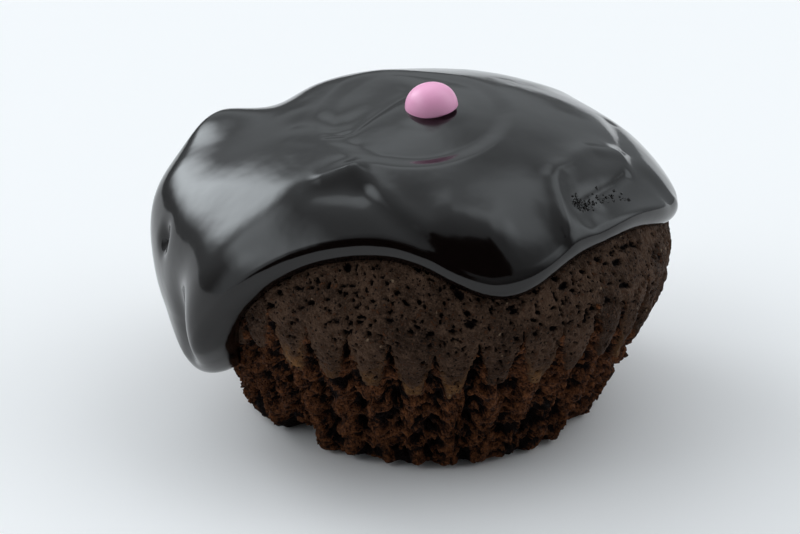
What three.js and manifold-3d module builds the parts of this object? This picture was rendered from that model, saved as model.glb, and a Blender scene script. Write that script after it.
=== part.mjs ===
// A chocolate cupcake baked in a pleated case, with the case peeled off, coated in poured chocolate
// icing that runs down one side, and topped with one round sugar sweet.
//
// Millimetres, +Z up. The origin is the centre of the flat base, and the front is towards -Y.
// Directions round the cake are in degrees from +X, so the front is at -90.
import Module from 'manifold-3d';
import * as THREE from 'three';
import { mergeVertices } from 'three/addons/utils/BufferGeometryUtils.js';

// Cake: a tapered wall from the base to the widest line, then a domed top.
const BASE_RADIUS = 25;
const WALL_SLOPE = 0.43; // growth of the radius for each millimetre of height
const ROUNDING_START = 17.5; // height where the wall starts to turn upright
const WIDEST_HEIGHT = 22.5;
const DOME_HEIGHT = 18.7;
const WIDEST_RADIUS = BASE_RADIUS + WALL_SLOPE * (WIDEST_HEIGHT - (WIDEST_HEIGHT - ROUNDING_START) / 2);

// Pleats that the case pressed into the wall.
const PLEATS = 37;
const PLEAT_PHASE = -94; // direction of one ridge
const PLEAT_DEPTH = 1.5;
const PLEAT_TOP = 23; // height where the pleats have faded out
const PLEAT_FULL = 14; // height below which they have their full depth
const PLEAT_FOOT = 7; // below this height they are worn down, to this share at the base
const PLEAT_FOOT_SHARE = 0.4;

// Below the crust the wall came away with the case and is torn crumb.
const CRUST_EDGE = 14.8; // height where a tongue of crust ends on a ridge
const CRUST_EDGE_SPREAD = 2.4;
const CRUST_RISE = 6.2; // how much higher the crust ends in a groove
const TORN_DEPTH = 0.35;
const TORN_ROUGHNESS = 0.65;
const CRUST_ROUGHNESS = 0.16;

// Where the lower wall bulges, and the bites torn out of it.
const BULGE = { at: -158, width: 24, height: 1, reach: 6, size: 1.6 };
const CHIPS = [
  { at: -133, width: 6, height: 0.5, reach: 2.6, depth: 2.2 },
  { at: -6, width: 5, height: 14.5, reach: 1.7, depth: 1.8 },
  { at: -8, width: 4, height: 5, reach: 1.8, depth: 1.2 },
  { at: -38, width: 5, height: 1, reach: 1.8, depth: 1.3 },
  { at: 70, width: 5, height: 2, reach: 2.5, depth: 1.6 },
  { at: 152, width: 4, height: 12, reach: 2, depth: 1.4 },
];
const UNDERCUT = { at: -133, width: 7, lift: 2.6 }; // the base edge is torn up here
const FLAT_RADIUS = 21; // flat part of the underside

// Icing: an even coat, thicker where it ran down in lobes.
const COAT = 2.3;
const CLEARANCE = 0.3; // between neighbouring pieces
const ICING_EDGE = 33.2; // height of the icing's lower edge between the lobes
const LOBES = [
  { at: -158, width: 22, drop: 16.4, power: 2.4, swell: 3.8 },
  { at: -156.5, width: 33.5, drop: 8.4, power: 2, swell: 0 },
  { at: -73, width: 17.4, drop: 4.8, power: 2, swell: 0.4 },
  { at: -43, width: 17.3, drop: 1.5, power: 2, swell: 0.3 },
  { at: 0, width: 25.8, drop: 6.7, power: 2, swell: 0 },
  { at: 58, width: 14, drop: 8, power: 3, swell: 1.4 },
  { at: 97, width: 12, drop: 3.5, power: 2, swell: 0.4 },
  { at: 134, width: 14, drop: 7, power: 3, swell: 1 },
];
// A lobe's swelling reaches up from the edge by this share of its drop, and this much more.
const SWELL_SHARE = 0.55;
const SWELL_REACH = 4;
// Swellings and hollows of the coat: direction and height of the middle, reach each way, and size.
const SWELLS = [
  { at: 165, width: 11.5, height: 33.1, reach: 3.2, size: 3.5 },
  { at: 175, width: 30, height: 28.7, reach: 5.3, size: 2 },
  { at: 150.5, width: 28.6, height: 34.9, reach: 4.9, size: -1.55 },
  { at: -153, width: 5, height: 18, reach: 5, size: -1.5 },
  { at: -144, width: 5, height: 19, reach: 5.5, size: 0.7 },
  { at: -163, width: 2.8, height: 26.8, reach: 1.8, size: -1.3 },
];
const SWELLS_START = 0.1; // share of the dome, from the top, where they begin
const SWELLS_FULL = 0.6;
// Folds left by the pour, seen from above: width, height and the line that each follows. The hook is
// the lip of a flap at the right, and the first two folds are the flap and the rolled lip.
const HOOK_FLAP = [[22.6, -7.2], [18.6, -12], [16, -16.5], [15.8, -20.5]];
const HOOK_LIP = [
  [23.6, -5.9],
  [16.9, -13.1],
  [14.7, -16.7],
  [16.3, -23.5],
  [19.2, -23.4],
  [25.6, -15],
  [31.7, -4.2],
];
const FOLDS = [
  { width: 2.8, size: 0.35, line: HOOK_FLAP },
  { width: 1.3, size: 0.4, line: HOOK_LIP },
  { width: 1.6, size: -0.4, line: [[19.8, -17.6], [18.6, -20.2]] },
  { width: 2.8, size: -0.5, line: [[29, -6.5], [25.6, -11.8], [22.4, -16.2], [19.9, -19.4]] },
  { width: 1.5, size: 0.4, line: [[-12.9, -17.6], [-9.6, -16.9]] },
  { width: 1.4, size: 0.3, line: [[-9.4, -16.6], [-4, -23.4], [-0.7, -26]] },
  { width: 1.7, size: -0.35, line: [[-13.4, -19.2], [-8.2, -20.6]] },
  { width: 1.5, size: -0.25, line: [[-8.2, -20.6], [-1.5, -27]] },
  { width: 3, size: 0.75, line: [[2.4, -24.8], [6.6, -25.4]] },
  { width: 2.4, size: -0.6, line: [[1.6, -30.2], [6.4, -30.6]] },
  { width: 2.2, size: -0.35, line: [[-16.6, -2.8], [-10.2, -5.2], [-3.6, 2.5]] },
  { width: 6, size: 0.5, line: [[-14, 8], [-7, 6]] },
];
// The dish in which the sweet sits: a little narrower across than along, and tilted, so that it is
// deeper in front than behind.
const DISH = { x: -2, y: -3, radius: 15, width: 3.4, size: -0.6, narrowing: 1.15, tilt: 0.5 };

// Sweet: a round sugar drop, pressed a little way into the icing. It rises above its widest line and
// narrows below it to a flat foot.
const SWEET = { x: 0.1, y: -3.4, radius: 3.55, rise: 3.3, keel: 0.5, foot: 2.6, sunk: 0.35 };
const SWEET_TILT = 9; // its right side stands higher

// Facets.
const FACETS_PER_PLEAT = 4;
const CAKE_COLUMNS = PLEATS * FACETS_PER_PLEAT;
const WALL_ROWS = 12;
const OPEN_DOME_ROWS = 7;
const COVERED_DOME_ROWS = 3;
const OPEN_DOME_END = 0.5; // share of the dome, from the top, that the icing always covers
const ICING_COLUMNS = 96;
const ICING_ROWS = 22;
const EDGE_SAMPLES = 720; // for measuring along the icing's edge
const LINING_ROWS = 13;
const LINING_COARSE_ROWS = 4; // rows near the top with half as many columns
const LINING_SLACK = 0.1; // keeps the lining's flat facets off the cake
const ROW_CROWDING = 1.5; // above 1, the icing's rows crowd towards its edge
const SWEET_COLUMNS = 20;
const SWEET_ROWS = 5;
const SEED = 2461;

// Seeded random numbers from 0 to 1.
function randomSource(seed) {
  let state = seed >>> 0;
  return () => {
    state = (state + 0x6d2b79f5) >>> 0;
    let mixed = Math.imul(state ^ (state >>> 15), 1 | state);
    mixed = (mixed + Math.imul(mixed ^ (mixed >>> 7), 61 | mixed)) ^ mixed;
    return ((mixed ^ (mixed >>> 14)) >>> 0) / 2 ** 32;
  };
}

// Smallest turn between two directions, in degrees.
function turn(from, to) {
  return THREE.MathUtils.euclideanModulo(to - from + 180, 360) - 180;
}

// A smooth hump of height 1 in the middle, whose sides steepen with the power.
function hump(distance, width, power = 2) {
  return Math.exp(-(Math.abs(distance / width) ** power));
}

// Radius of the wall, over the pleats' ridges, at a height.
function wallRadius(height) {
  const turning = Math.max(height - ROUNDING_START, 0);
  const span = WIDEST_HEIGHT - ROUNDING_START;
  return BASE_RADIUS + WALL_SLOPE * (height - turning ** 2 / (2 * span));
}

// The cake's outline from the top (0) down the dome to the widest line (1) and the base (2).
function outline(step) {
  if (step < 1) {
    const angle = (step * Math.PI) / 2;
    return new THREE.Vector2(WIDEST_RADIUS * Math.sin(angle), WIDEST_HEIGHT + DOME_HEIGHT * Math.cos(angle));
  }
  const height = WIDEST_HEIGHT * (2 - step);
  return new THREE.Vector2(wallRadius(height), height);
}

// The step along the outline at a height.
function outlineStep(height) {
  if (height < WIDEST_HEIGHT) return 2 - height / WIDEST_HEIGHT;
  return Math.acos(Math.min((height - WIDEST_HEIGHT) / DOME_HEIGHT, 1)) / (Math.PI / 2);
}

// The direction square to the outline, pointing out of the cake.
function outlineNormal(step) {
  const small = 1e-4;
  const before = outline(Math.max(step - small, 0));
  const after = outline(Math.min(step + small, 2));
  const along = after.sub(before).normalize();
  return new THREE.Vector2(-along.y, along.x);
}

// Lengths along the outline, so that rows can be spaced evenly over the surface.
const LENGTH_SAMPLES = 400;
const lengths = [0];
for (let i = 1; i <= LENGTH_SAMPLES; i += 1) {
  const piece = outline((2 * i) / LENGTH_SAMPLES).distanceTo(outline((2 * (i - 1)) / LENGTH_SAMPLES));
  lengths.push(lengths[i - 1] + piece);
}

function lengthAt(step) {
  const place = (step / 2) * LENGTH_SAMPLES;
  const i = Math.min(Math.floor(place), LENGTH_SAMPLES - 1);
  return THREE.MathUtils.lerp(lengths[i], lengths[i + 1], place - i);
}

function stepAt(length) {
  let i = 0;
  while (i < LENGTH_SAMPLES - 1 && lengths[i + 1] < length) i += 1;
  return (2 * (i + (length - lengths[i]) / (lengths[i + 1] - lengths[i]))) / LENGTH_SAMPLES;
}

// How far the lower wall stands out beyond the round outline.
function bulge(direction, height) {
  return BULGE.size * hump(turn(BULGE.at, direction), BULGE.width) * hump(height - BULGE.height, BULGE.reach);
}

// A point from a direction, a radius and a height.
function polar(direction, radius, height) {
  const angle = THREE.MathUtils.degToRad(direction);
  return new THREE.Vector3(radius * Math.cos(angle), radius * Math.sin(angle), height);
}

// A closed surface put together ring by ring from the top down. Every ring starts at the same
// direction and runs counterclockwise seen from above.
class Skin {
  constructor() {
    this.points = [];
    this.faces = [];
  }

  ring(points) {
    const first = this.points.length;
    this.points.push(...points);
    return points.map((_, i) => first + i);
  }

  // Joins a ring to a lower one that has as many points, or a whole number of times more.
  band(upper, lower) {
    const share = lower.length / upper.length;
    upper.forEach((corner, i) => {
      const next = upper[(i + 1) % upper.length];
      const below = (k) => lower[(i * share + k) % lower.length];
      const half = Math.ceil(share / 2);
      for (let k = 0; k < half; k += 1) this.faces.push([corner, below(k), below(k + 1)]);
      this.faces.push([corner, below(half), next]);
      for (let k = half; k < share; k += 1) this.faces.push([next, below(k), below(k + 1)]);
    });
  }

  // Joins a ring to a lower one that has fewer points.
  gather(upper, lower) {
    const first = this.faces.length;
    this.band(lower, upper);
    for (let i = first; i < this.faces.length; i += 1) this.faces[i].reverse();
  }

  // Closes a ring to one point above or below it.
  close(ring, point, above) {
    const centre = this.ring([point])[0];
    ring.forEach((corner, i) => {
      const next = ring[(i + 1) % ring.length];
      this.faces.push(above ? [centre, corner, next] : [centre, next, corner]);
    });
  }

  geometry() {
    const geometry = new THREE.BufferGeometry();
    geometry.setFromPoints(this.points);
    geometry.setIndex(this.faces.flat());
    geometry.computeVertexNormals();
    return geometry;
  }
}

function directions(columns) {
  return Array.from({ length: columns }, (_, i) => -180 + (360 * i) / columns);
}

// 0 on a pleat's ridge, 1 in the groove.
function grooveShare(direction) {
  const turns = PLEATS * THREE.MathUtils.degToRad(direction - PLEAT_PHASE);
  return (0.5 - 0.5 * Math.cos(turns)) ** 1.3;
}

// How far the wall lies inside its smooth outline.
function wallRelief(direction, height, random) {
  const worn = THREE.MathUtils.lerp(PLEAT_FOOT_SHARE, 1, THREE.MathUtils.smoothstep(height, 0, PLEAT_FOOT));
  const fading = worn * THREE.MathUtils.clamp((PLEAT_TOP - height) / (PLEAT_TOP - PLEAT_FULL), 0, 1);
  const groove = grooveShare(direction);
  const angle = THREE.MathUtils.degToRad(direction);
  const wander = (Math.sin(5 * angle) + Math.sin(13 * angle)) / 2;
  const crustEdge = CRUST_EDGE + CRUST_EDGE_SPREAD * wander + CRUST_RISE * groove;
  const torn = height < crustEdge;
  const roughness = torn ? TORN_ROUGHNESS : CRUST_ROUGHNESS;
  let relief = PLEAT_DEPTH * fading * groove + (torn ? TORN_DEPTH : 0) + roughness * random();
  for (const chip of CHIPS) {
    const across = hump(turn(chip.at, direction), chip.width, 4);
    relief += chip.depth * across * hump(height - chip.height, chip.reach, 4);
  }
  return relief;
}

function cakeGeometry() {
  const random = randomSource(SEED);
  const skin = new Skin();
  const coarse = directions(PLEATS);
  const fine = directions(CAKE_COLUMNS);

  let ring = null;
  for (let i = 1; i <= COVERED_DOME_ROWS; i += 1) {
    const place = outline((OPEN_DOME_END * i) / (COVERED_DOME_ROWS + 1));
    const next = skin.ring(coarse.map((direction) => polar(direction, place.x, place.y)));
    if (ring) skin.band(ring, next);
    else skin.close(next, new THREE.Vector3(0, 0, WIDEST_HEIGHT + DOME_HEIGHT), true);
    ring = next;
  }

  for (let i = 0; i < OPEN_DOME_ROWS; i += 1) {
    const step = THREE.MathUtils.lerp(OPEN_DOME_END, 1, i / OPEN_DOME_ROWS);
    const place = outline(step);
    const normal = outlineNormal(step);
    const next = skin.ring(fine.map((direction) => {
      const relief = CRUST_ROUGHNESS * random();
      return polar(direction, place.x - normal.x * relief, place.y - normal.y * relief);
    }));
    skin.band(ring, next);
    ring = next;
  }

  for (let i = 0; i <= WALL_ROWS; i += 1) {
    const height = WIDEST_HEIGHT * (1 - i / WALL_ROWS);
    const next = skin.ring(fine.map((direction) => {
      const lift = UNDERCUT.lift * hump(turn(UNDERCUT.at, direction), UNDERCUT.width, 4);
      const place = Math.max(height, lift);
      const radius = wallRadius(place) + bulge(direction, place) - wallRelief(direction, place, random);
      return polar(direction, radius, place);
    }));
    skin.band(ring, next);
    ring = next;
  }

  const flat = skin.ring(coarse.map((direction) => polar(direction, FLAT_RADIUS, 0)));
  skin.gather(ring, flat);
  skin.close(flat, new THREE.Vector3(0, 0, 0), false);
  return skin.geometry();
}

// Height of the icing's lower edge.
function icingEdge(direction) {
  let edge = ICING_EDGE;
  for (const lobe of LOBES) edge -= lobe.drop * hump(turn(lobe.at, direction), lobe.width, lobe.power);
  return edge;
}

// Distance from a point to a line of straight pieces, seen from above.
function distanceToLine(point, line) {
  let nearest = Infinity;
  for (let i = 1; i < line.length; i += 1) {
    const start = new THREE.Vector2(...line[i - 1]);
    const along = new THREE.Vector2(...line[i]).sub(start);
    const share = THREE.MathUtils.clamp(point.clone().sub(start).dot(along) / along.lengthSq(), 0, 1);
    nearest = Math.min(nearest, point.distanceTo(start.addScaledVector(along, share)));
  }
  return nearest;
}

// A point at a distance out from the cake's smooth outline.
function overCake(direction, step, distance) {
  const place = outline(step).addScaledVector(outlineNormal(step), distance);
  return polar(direction, place.x + bulge(direction, place.y), place.y);
}

// Thickness of the icing, square to the cake, before its edge is rounded.
function coatThickness(direction, step) {
  const place = outline(step);
  const seen = polar(direction, place.x, 0);
  const plan = new THREE.Vector2(seen.x, seen.y);
  let thickness = COAT;
  for (const swell of SWELLS) {
    const across = hump(turn(swell.at, direction), swell.width);
    const fading = THREE.MathUtils.smoothstep(step, SWELLS_START, SWELLS_FULL);
    thickness += swell.size * across * hump(place.y - swell.height, swell.reach) * fading;
  }
  if (step > 1) return thickness;
  for (const fold of FOLDS) {
    thickness += fold.size * hump(distanceToLine(plan, fold.line), fold.width);
  }
  const rim = Math.hypot((plan.x - DISH.x) * DISH.narrowing, plan.y - DISH.y);
  const depth = DISH.size * (1 - (DISH.tilt * (plan.y - DISH.y)) / DISH.radius);
  return thickness + depth * (1 - THREE.MathUtils.smoothstep(rim, DISH.radius - DISH.width, DISH.radius));
}

// A point of the icing's outer face, whose lip curls in to the cake at the edge.
function icingPoint(direction, step, edgeStep) {
  const toEdge = Math.max(lengthAt(edgeStep) - lengthAt(step), 0);
  let thickness = coatThickness(direction, step);
  for (const lobe of LOBES) {
    const near = hump(toEdge, SWELL_SHARE * lobe.drop + SWELL_REACH);
    thickness += lobe.swell * near * hump(turn(lobe.at, direction), lobe.width, lobe.power);
  }
  const inLip = 1 - Math.min(toEdge / thickness, 1);
  thickness = CLEARANCE + (thickness - CLEARANCE) * Math.sqrt(1 - inLip ** 2);
  return overCake(direction, step, thickness);
}

// Directions of the icing's columns, spaced evenly along its wavy edge, so that steep lobes get
// their share.
function icingDirections() {
  const samples = directions(EDGE_SAMPLES).concat(180);
  const along = [0];
  const edgePoint = (direction) => overCake(direction, outlineStep(icingEdge(direction)), 0);
  for (let i = 1; i < samples.length; i += 1) {
    along.push(along[i - 1] + edgePoint(samples[i]).distanceTo(edgePoint(samples[i - 1])));
  }
  const total = along[along.length - 1];
  let i = 0;
  return Array.from({ length: ICING_COLUMNS }, (_, k) => {
    const wanted = (total * k) / ICING_COLUMNS;
    while (along[i + 1] < wanted) i += 1;
    return THREE.MathUtils.lerp(samples[i], samples[i + 1], (wanted - along[i]) / (along[i + 1] - along[i]));
  });
}

function icingGeometry() {
  const skin = new Skin();
  const columns = icingDirections();
  const edges = columns.map((direction) => outlineStep(icingEdge(direction)));
  const top = outline(0).y;

  let ring = null;
  for (let i = 1; i <= ICING_ROWS; i += 1) {
    const share = 1 - (1 - i / ICING_ROWS) ** ROW_CROWDING;
    const next = skin.ring(columns.map((direction, k) => {
      const step = i === ICING_ROWS ? edges[k] : stepAt(share * lengthAt(edges[k]));
      return icingPoint(direction, step, edges[k]);
    }));
    if (ring) skin.band(ring, next);
    else skin.close(next, new THREE.Vector3(0, 0, top + coatThickness(0, 0)), true);
    ring = next;
  }

  for (let i = LINING_ROWS - 1; i >= 1; i -= 1) {
    const points = columns.map((direction, k) => {
      const step = stepAt((i / LINING_ROWS) * lengthAt(edges[k]));
      return overCake(direction, step, CLEARANCE + LINING_SLACK);
    });
    const coarse = i <= LINING_COARSE_ROWS;
    const next = skin.ring(coarse ? points.filter((_, k) => k % 2 === 0) : points);
    skin.gather(ring, next);
    ring = next;
  }
  skin.close(ring, new THREE.Vector3(0, 0, top + CLEARANCE + LINING_SLACK), false);
  return skin.geometry();
}

// Height of the icing's face, without its edge, at a place seen from above.
function icingHeight(x, y) {
  const direction = THREE.MathUtils.radToDeg(Math.atan2(y, x));
  const step = Math.asin(Math.hypot(x, y) / WIDEST_RADIUS) / (Math.PI / 2);
  return outline(step).y + coatThickness(direction, step);
}

// The sweet's closed shape about the middle of its widest line, larger all round by a margin.
function sweetGeometry(margin) {
  const skin = new Skin();
  const columns = directions(SWEET_COLUMNS);
  const radius = SWEET.radius + margin;
  const rise = SWEET.rise + margin;
  const keel = -SWEET.keel - margin;
  let ring = null;
  for (let i = 1; i <= SWEET_ROWS; i += 1) {
    const angle = (i / SWEET_ROWS) * (Math.PI / 2);
    const place = new THREE.Vector2(radius * Math.sin(angle), rise * Math.cos(angle));
    const next = skin.ring(columns.map((direction) => polar(direction, place.x, place.y)));
    if (ring) skin.band(ring, next);
    else skin.close(next, new THREE.Vector3(0, 0, rise), true);
    ring = next;
  }
  const foot = skin.ring(columns.map((direction) => polar(direction, SWEET.foot + margin, keel)));
  skin.band(ring, foot);
  skin.close(foot, new THREE.Vector3(0, 0, keel), false);
  return skin.geometry().rotateY(THREE.MathUtils.degToRad(-SWEET_TILT));
}

const wasm = await Module();
wasm.setup();

// Cuts one closed shape out of another.
function cut(from, tool) {
  const solid = (geometry) => {
    const bare = geometry.clone();
    bare.deleteAttribute('normal');
    const merged = mergeVertices(bare);
    return new wasm.Manifold(new wasm.Mesh({
      numProp: 3,
      vertProperties: Float32Array.from(merged.attributes.position.array),
      triVerts: Uint32Array.from(merged.index.array),
    }));
  };
  const mesh = solid(from).subtract(solid(tool)).getMesh();
  const geometry = new THREE.BufferGeometry();
  geometry.setAttribute('position', new THREE.BufferAttribute(mesh.vertProperties, 3));
  geometry.setIndex(new THREE.BufferAttribute(mesh.triVerts, 1));
  geometry.computeVertexNormals();
  return geometry;
}

function piece(name, geometry, colour, roughness) {
  const material = new THREE.MeshStandardMaterial({ color: colour, roughness, metalness: 0 });
  const mesh = new THREE.Mesh(geometry, material);
  mesh.name = name;
  return mesh;
}

const sweetHeight = icingHeight(SWEET.x, SWEET.y) - SWEET.sunk + SWEET.keel;
const socket = sweetGeometry(CLEARANCE).translate(SWEET.x, SWEET.y, sweetHeight);

const cake = piece('cake', cakeGeometry(), 0x3b2a22, 0.95);
const icing = piece('icing', cut(icingGeometry(), socket), 0x221a1a, 0.2);
const sweet = piece('sweet', sweetGeometry(0), 0xe89ac8, 0.35);
sweet.position.set(SWEET.x, SWEET.y, sweetHeight);

const group = new THREE.Group();
group.add(cake, icing, sweet);

export default group;
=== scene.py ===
import math

import bpy
import numpy as np
from mathutils import Matrix


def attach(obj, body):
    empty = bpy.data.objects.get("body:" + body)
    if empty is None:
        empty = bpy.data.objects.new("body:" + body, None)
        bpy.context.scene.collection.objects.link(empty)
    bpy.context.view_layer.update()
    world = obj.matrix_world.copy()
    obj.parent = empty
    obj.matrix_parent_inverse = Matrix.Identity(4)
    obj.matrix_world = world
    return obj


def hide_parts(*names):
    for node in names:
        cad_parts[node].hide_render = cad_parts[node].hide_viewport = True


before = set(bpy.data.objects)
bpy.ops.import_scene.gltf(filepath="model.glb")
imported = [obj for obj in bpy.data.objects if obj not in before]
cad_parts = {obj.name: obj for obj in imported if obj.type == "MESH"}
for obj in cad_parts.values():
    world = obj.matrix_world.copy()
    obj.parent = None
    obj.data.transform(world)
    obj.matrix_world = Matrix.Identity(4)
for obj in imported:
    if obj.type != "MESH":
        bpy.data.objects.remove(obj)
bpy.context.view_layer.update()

# Camera: at the photograph's viewing angle, 27 cm away and looking down on the cake, with a long
# lens. Nothing else in the scene depends on it.
CAMERA_PLACE = (-0.0039, -0.2342, 0.1327)  # metres
CAMERA_DOWN = 26.17
CAMERA_ROLL = 0.53
SENSOR_WIDTH = 36.0
FOCAL_LENGTH = 83.66
NEAREST_SEEN = 0.01  # metres

camera = bpy.data.objects.new("camera", bpy.data.cameras.new("camera"))
camera.data.sensor_width = SENSOR_WIDTH
camera.data.lens = FOCAL_LENGTH
camera.data.clip_start = NEAREST_SEEN
camera_turn = Matrix.Rotation(math.radians(90 - CAMERA_DOWN), 4, "X")
camera_turn = camera_turn @ Matrix.Rotation(math.radians(CAMERA_ROLL), 4, "Z")
camera.matrix_world = Matrix.Translation(CAMERA_PLACE) @ camera_turn
bpy.context.collection.objects.link(camera)
bpy.context.scene.camera = camera
bpy.context.scene.view_settings.view_transform = "Standard"

# Table: one plain pale board, painted matt and very slightly warm, and far wider than any view of the
# cake. It carries the cake and its soft shadow.
TABLE_HALF_WIDTH = 4.0  # metres
TABLE_COLOUR = "#FAF7F6"
TABLE_ROUGHNESS = 0.9


def linear(code):
    """An sRGB hex colour as linear red, green, blue and alpha: a channel c is c / 12.92 below 0.04045
    and ((c + 0.055) / 1.055) ** 2.4 above it."""
    channels = [int(code[i:i + 2], 16) / 255 for i in (1, 3, 5)]
    return tuple(c / 12.92 if c <= 0.04045 else ((c + 0.055) / 1.055) ** 2.4 for c in channels) + (1.0,)


def add_node(tree, kind, inputs=(), **settings):
    """Adds a node with its own properties as settings. Its inputs come in the order of its sockets, or
    by their names or numbers: each is a value, a socket, or a node whose first output feeds it."""
    made = tree.nodes.new("ShaderNode" + kind)
    for name, value in settings.items():
        setattr(made, name, value)
    by_socket = inputs if isinstance(inputs, dict) else dict(enumerate(inputs))
    for socket, value in by_socket.items():
        source = value.outputs[0] if isinstance(value, bpy.types.Node) else value
        if isinstance(source, bpy.types.NodeSocket):
            tree.links.new(source, made.inputs[socket])
        else:
            made.inputs[socket].default_value = source
    return made


def new_material(name):
    """An empty node material and its tree."""
    material = bpy.data.materials.new(name)
    material.use_nodes = True
    material.node_tree.nodes.clear()
    return material, material.node_tree


# Painted board: matt, so it shows only the cake's soft shadow.
painted_board, tree = new_material("painted_board")
paint = {"Base Color": linear(TABLE_COLOUR), "Roughness": TABLE_ROUGHNESS}
add_node(tree, "OutputMaterial", [add_node(tree, "BsdfPrincipled", paint)])

table_mesh = bpy.data.meshes.new("table")
quarters = ((-1, -1), (1, -1), (1, 1), (-1, 1))
corners = [(x * TABLE_HALF_WIDTH, y * TABLE_HALF_WIDTH, 0.0) for x, y in quarters]
table_mesh.from_pydata(corners, [], [(0, 1, 2, 3)])
table_mesh.materials.append(painted_board)
table = bpy.data.objects.new("table", table_mesh)
bpy.context.collection.objects.link(table)

# Light: a pale surround with soft panels, the strongest behind on the left, and three dark flags. Two
# ragged ones, behind and over the camera, are mirrored as the streak and star on the icing's front.
# Azimuth 0 is away from the camera and 90 to the right; half sizes and soft rims are in degrees.
SURROUND_COLOUR = "#F2FAFF"
SURROUND_BACK = 0.8  # radiance straight ahead, on the far side of the cake
SURROUND_FRONT = 0.25  # radiance behind the camera
SURROUND_BLEND = 0.6  # the two blend between this far behind and this far ahead
SURROUND_LOW = 0.5  # share of it that is left at the horizon
SURROUND_LIFT = 0.5  # upward part of the direction from which all of it is there
PANELS = [  # azimuth, elevation, half width, half height, soft rim, radiance
    (-50, 29, 5, 8, 12, 5.2),
    (-92, 40, 10, 6, 16, 2.2),
    (-118, 12, 10, 20, 16, 0.8),
    (-15, 52, 8, 5, 12, 1.0),
    (60, 58, 10, 8, 14, 1.1),
    (84, 28, 12, 12, 16, 1.2),
    (180, 86, 20, 20, 20, 0.2),
]
FLAGS = [  # azimuth, elevation, half width, half height, soft rim, share of the light held back
    (202, 18, 17, 28, 3, 1.0),
    (172, 50, 17, 11, 3, 1.0),
    (-20, 2, 30, 6, 10, 0.5),
]
FLAG_TATTERS = 4.5  # tatters in the flags' edges for each unit of direction
FLAG_TATTER_SIZE = 0.42

world = bpy.data.worlds.new("studio")
bpy.context.scene.world = world
world.use_nodes = True
tree = world.node_tree
tree.nodes.clear()
towards = add_node(tree, "TexCoord").outputs["Generated"]


def sky_direction(azimuth, elevation):
    """Unit vector of a direction round the camera's own line of sight."""
    turned, raised = math.radians(azimuth), math.radians(elevation)
    return (math.sin(turned) * math.cos(raised), math.cos(turned) * math.cos(raised), math.sin(raised))


def panel_share(tree, looking, azimuth, elevation, half_width, half_height, rim):
    """Share of a flat panel that is square to its direction: 1 on it, fading to 0 over its rim. Its
    edges are tangents of the half sizes, measured along its own level and upright axes."""
    middle, right, top = (azimuth, elevation), (azimuth + 90, 0), (azimuth, elevation + 90)
    axes = [sky_direction(*way) for way in (middle, right, top)]
    parts = [add_node(tree, "VectorMath", (looking, axis), operation="DOT_PRODUCT") for axis in axes]
    ahead, aside, above = (part.outputs["Value"] for part in parts)
    share = add_node(tree, "Math", (ahead, 0.0), operation="GREATER_THAN")
    for offset, half in ((aside, half_width), (above, half_height)):
        tangent = add_node(tree, "Math", (offset, ahead), operation="DIVIDE")
        size = add_node(tree, "Math", [tangent], operation="ABSOLUTE")
        edge, rim_end = math.tan(math.radians(half)), math.tan(math.radians(half + rim))
        inside = add_node(tree, "MapRange", (size, edge, rim_end, 1.0, 0.0), interpolation_type="SMOOTHSTEP")
        share = add_node(tree, "Math", (share, inside), operation="MULTIPLY")
    return share


parts = add_node(tree, "SeparateXYZ", [towards])
blending = (parts.outputs["Y"], -SURROUND_BLEND, SURROUND_BLEND, SURROUND_FRONT, SURROUND_BACK)
surround = add_node(tree, "MapRange", blending, interpolation_type="SMOOTHSTEP")
lifting = (parts.outputs["Z"], 0.0, SURROUND_LIFT, SURROUND_LOW, 1.0)
lifted_share = add_node(tree, "MapRange", lifting, interpolation_type="SMOOTHSTEP")
radiance = add_node(tree, "Math", (surround, lifted_share), operation="MULTIPLY")
for *place, strength in PANELS:
    panel = panel_share(tree, towards, *place)
    radiance = add_node(tree, "Math", (panel, strength, radiance), operation="MULTIPLY_ADD")
tatters = {"Vector": towards, "Scale": FLAG_TATTERS, "Detail": 1.0}
wander = add_node(tree, "TexNoise", tatters).outputs["Color"]
offset = add_node(tree, "VectorMath", (wander, (0.5,) * 3), operation="SUBTRACT")
tattering = (offset, (FLAG_TATTER_SIZE,) * 3, towards)
ragged = add_node(tree, "VectorMath", tattering, operation="MULTIPLY_ADD").outputs[0]
for *place, held_back in FLAGS:
    flag = panel_share(tree, ragged, *place)
    passing = add_node(tree, "Math", (flag, -held_back, 1.0), operation="MULTIPLY_ADD")
    radiance = add_node(tree, "Math", (radiance, passing), operation="MULTIPLY")
background = add_node(tree, "Background", {"Color": linear(SURROUND_COLOUR), "Strength": radiance})
add_node(tree, "OutputWorld", [background])

# Sponge: chocolate cake, one solid piece, baked in a pleated case and peeled. Its crust keeps the
# case's pleats as smooth tongues; below them the crumb came away with the case and is torn and open.
BASE_RADIUS = 25.0
WALL_SLOPE = 0.43
ROUNDING_START = 17.5  # height from which the wall's slope fades out
WIDEST_HEIGHT = 22.5
DOME_HEIGHT = 18.7
WIDEST_RADIUS = BASE_RADIUS + WALL_SLOPE * (WIDEST_HEIGHT - (WIDEST_HEIGHT - ROUNDING_START) / 2)
PLEATS = 37
PLEAT_PHASE = -94.0  # direction of one ridge
PLEAT_DEPTH = 1.5
PLEAT_TOP = 24.0
PLEAT_FULL = 16.5  # the grooves fade out between this height and the top
PLEAT_FOOT = 7.0  # below this height they are worn down
PLEAT_FOOT_SHARE = 0.4
CRUST_EDGE = 16.0  # height of the crust's lower edge on the ridges
CRUST_EDGE_SPREAD = 1.8
CRUST_RISE = 7.6  # how much higher it is in the grooves
TONGUE_BLUNTNESS = 0.14  # share of an arch's height that a tongue's end is cut off level
STRIPS = (-22, 34, 2)  # direction, width and drop of the narrow strips of crust left on the ridges
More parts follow.
